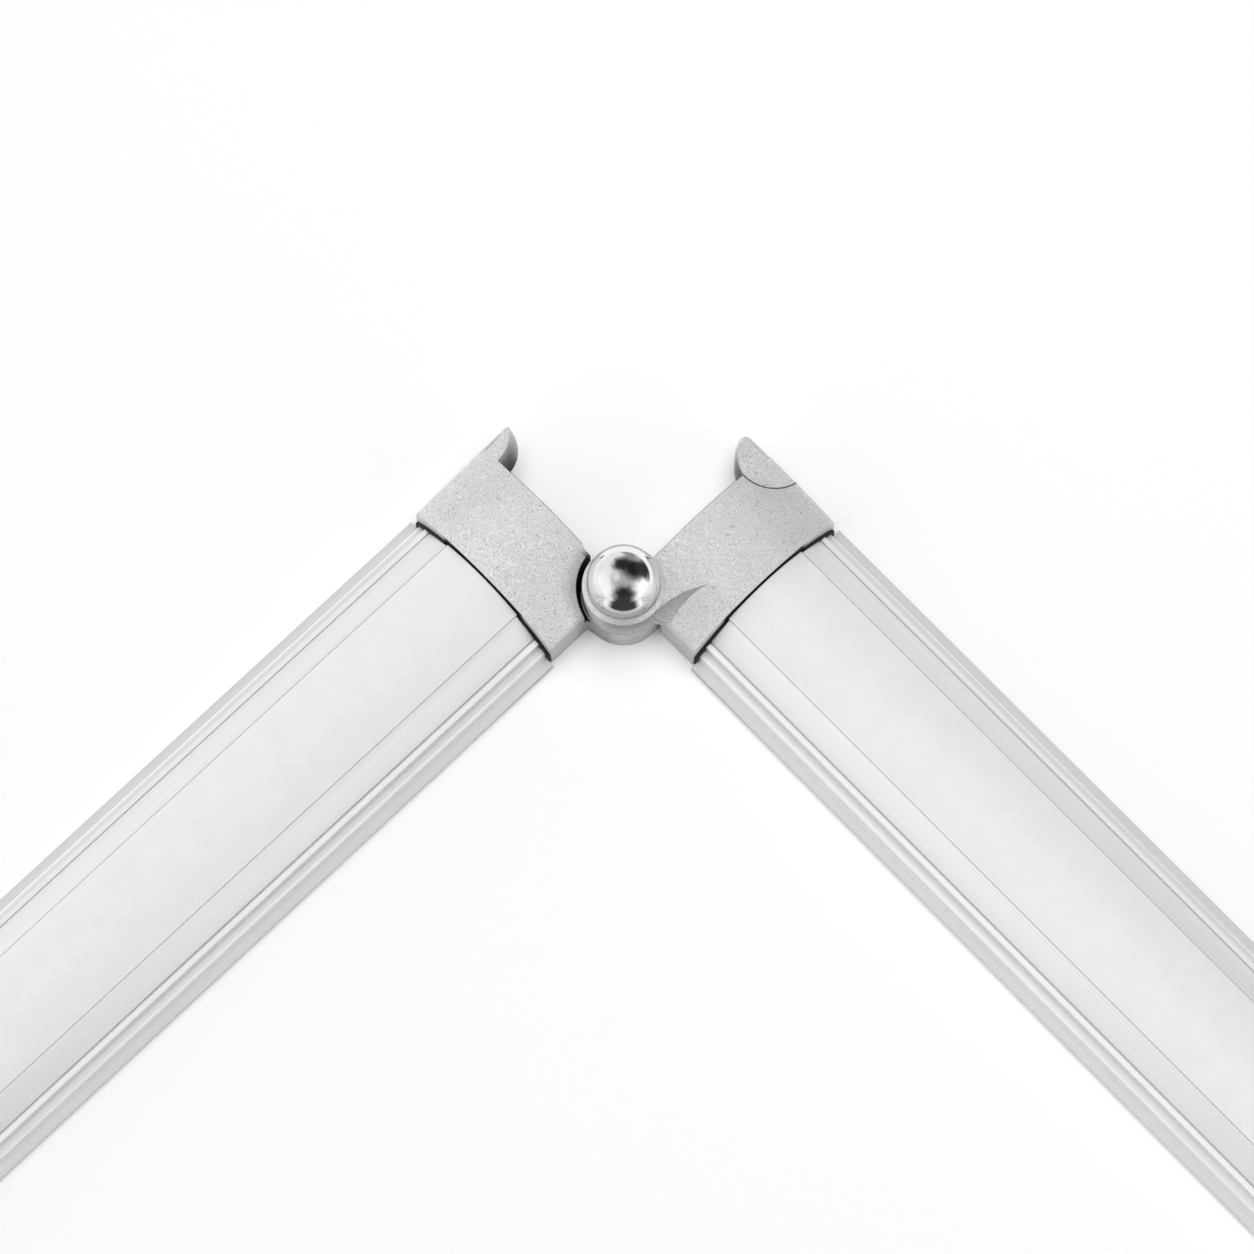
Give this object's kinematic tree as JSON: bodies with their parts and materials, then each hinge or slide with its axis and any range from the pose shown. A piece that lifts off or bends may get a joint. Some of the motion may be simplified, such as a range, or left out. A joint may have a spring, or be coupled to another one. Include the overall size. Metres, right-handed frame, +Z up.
{
  "type": "profile pivot joint",
  "caption": "Hinged corner of two bowed aluminium light profiles: die-cast end caps with interleaved knuckles and lapping claws turn on a ball-headed bolt.",
  "frame": {"origin": "where the pivot axis meets the plane of the profiles' backs", "axes": "+Z up along the pivot axis out of the backs, +X along the right arm towards its open end, -Y along the left arm towards its open end"},
  "size_m": [0.1456, 0.1456, 0.016],
  "materials": {
    "cast_cap": "bead-blasted die casting",
    "anodised_profile": "satin",
    "opal_cover": "opal, satin",
    "black_seal": "matt",
    "zinc_screw": "zinc plated",
    "bronze_bush": "turned",
    "spring_steel": "plain",
    "polished_head": "polished"
  },
  "bodies": {
    "left_arm": {"left_hinge_cap": "cast_cap", "left_profile": "anodised_profile", "left_diffuser": "opal_cover", "left_gasket": "black_seal", "left_screw_outer": "zinc_screw", "left_screw_inner": "zinc_screw", "lower_bush": "bronze_bush", "pivot_bolt": "polished_head", "pivot_nut": "zinc_screw", "disc_spring": "spring_steel", "seat_washer": "spring_steel", "knuckle_washer": "spring_steel", "head_washer": "spring_steel"},
    "right_arm": {"right_hinge_cap": "cast_cap", "right_profile": "anodised_profile", "right_diffuser": "opal_cover", "right_gasket": "black_seal", "right_screw_outer": "zinc_screw", "right_screw_inner": "zinc_screw", "upper_bush": "bronze_bush"}
  },
  "joints": [
    {"name": "pivot", "type": "hinge", "parent": "left_arm", "child": "right_arm", "pos_m": [0, 0, 0], "axis": [0, 0, 1], "range_deg": [-90, 90]}
  ]
}
